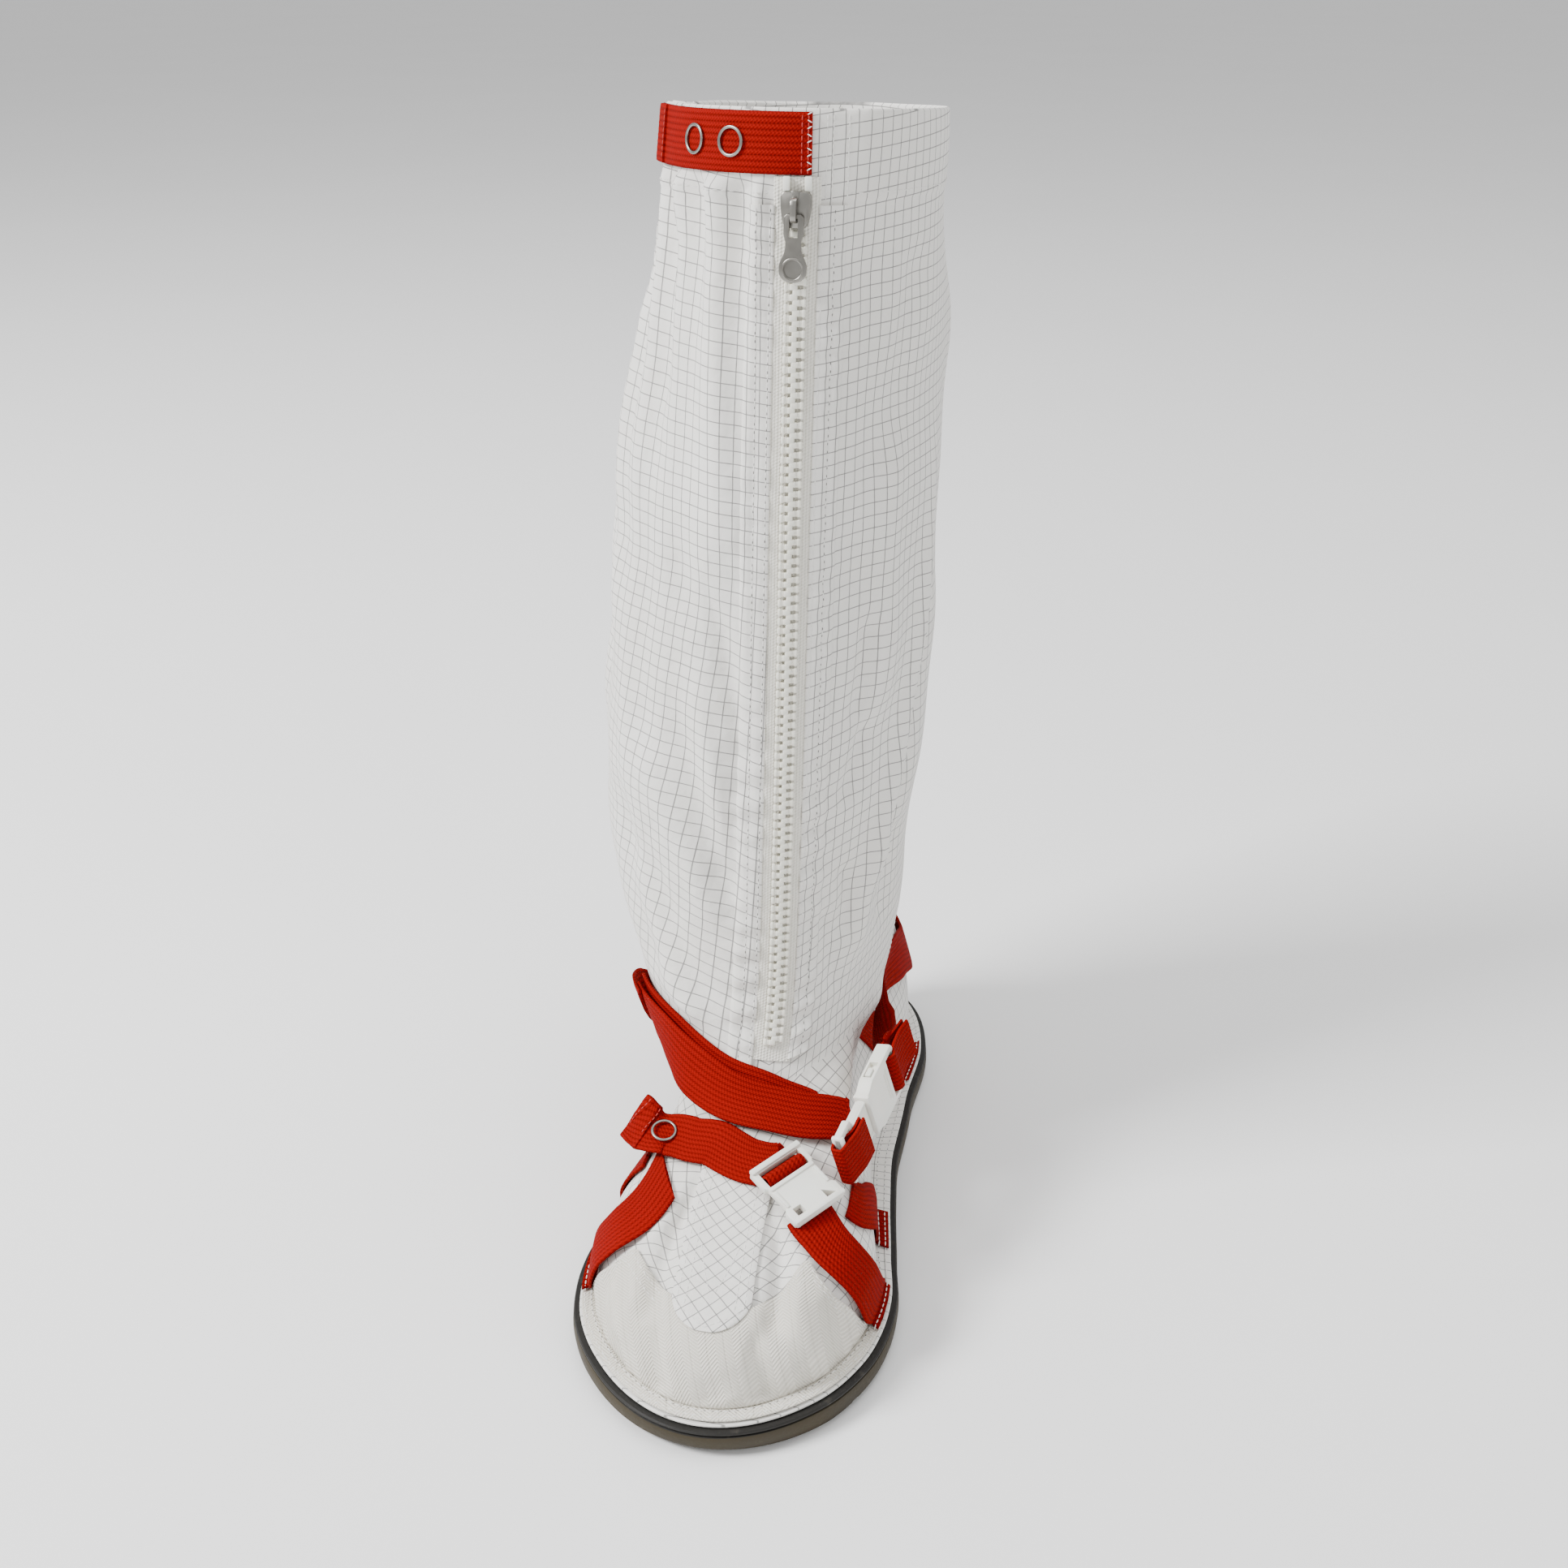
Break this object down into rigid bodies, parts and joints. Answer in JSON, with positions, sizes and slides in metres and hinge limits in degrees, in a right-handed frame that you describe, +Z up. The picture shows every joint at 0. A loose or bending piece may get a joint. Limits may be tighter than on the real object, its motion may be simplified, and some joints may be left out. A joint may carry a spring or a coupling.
{
  "type": "cleanroom boot",
  "caption": "Knee-high fabric cleanroom boot, right foot: zipped shaft with grid weave, twill toe cap, flat rubber sole, webbing straps with plastic buckles.",
  "frame": {"origin": "centre of the whole boot's box at ground level, 17 mm outwards of the sole's own centre", "axes": "+Z up, -Y towards the toe, +X towards the inner side of the foot"},
  "size_m": [0.1558, 0.318, 0.4541],
  "materials": {
    "fabric": "off-white woven polyester with a thin grey grid",
    "twill": "cream herringbone twill",
    "webbing": "red woven webbing",
    "lining": "pale lining cloth",
    "zip_tape": "cream woven zip tape",
    "sole": "dark olive-brown moulded rubber",
    "ivory_plastic": "ivory moulded plastic",
    "nickel": "nickel plate"
  },
  "bodies": {
    "boot": {"outsole": "sole", "insole": "lining", "upper": "fabric", "toe_cap": "twill", "vamp_strip": "fabric", "zip_tape": "zip_tape", "zip_chain": "ivory_plastic", "zip_slider": "nickel", "zip_stop_inner": "ivory_plastic", "zip_stop_outer": "ivory_plastic", "collar_strap": "webbing", "collar_ring_front": "nickel", "collar_ring_side": "nickel", "front_band_inner": "webbing", "mid_band_inner": "webbing", "heel_band_inner": "webbing", "front_band_outer": "webbing", "mid_band_outer": "webbing", "heel_band_outer": "webbing", "ankle_strap_over": "webbing", "ankle_strap_under": "webbing", "ankle_strap_back": "webbing", "heel_loop": "webbing", "instep_strap": "webbing", "instep_ring": "nickel", "instep_buckle": "ivory_plastic", "ankle_buckle_socket": "ivory_plastic", "ankle_buckle_tongue": "ivory_plastic"},
    "pull": {"zip_pull": "nickel"}
  },
  "joints": [
    {"name": "pull_hinge", "type": "hinge", "parent": "boot", "child": "pull", "pos_m": [0.01443, 0.01293, 0.41971], "axis": [-1, 0, 0], "range_deg": [0, 165]}
  ]
}
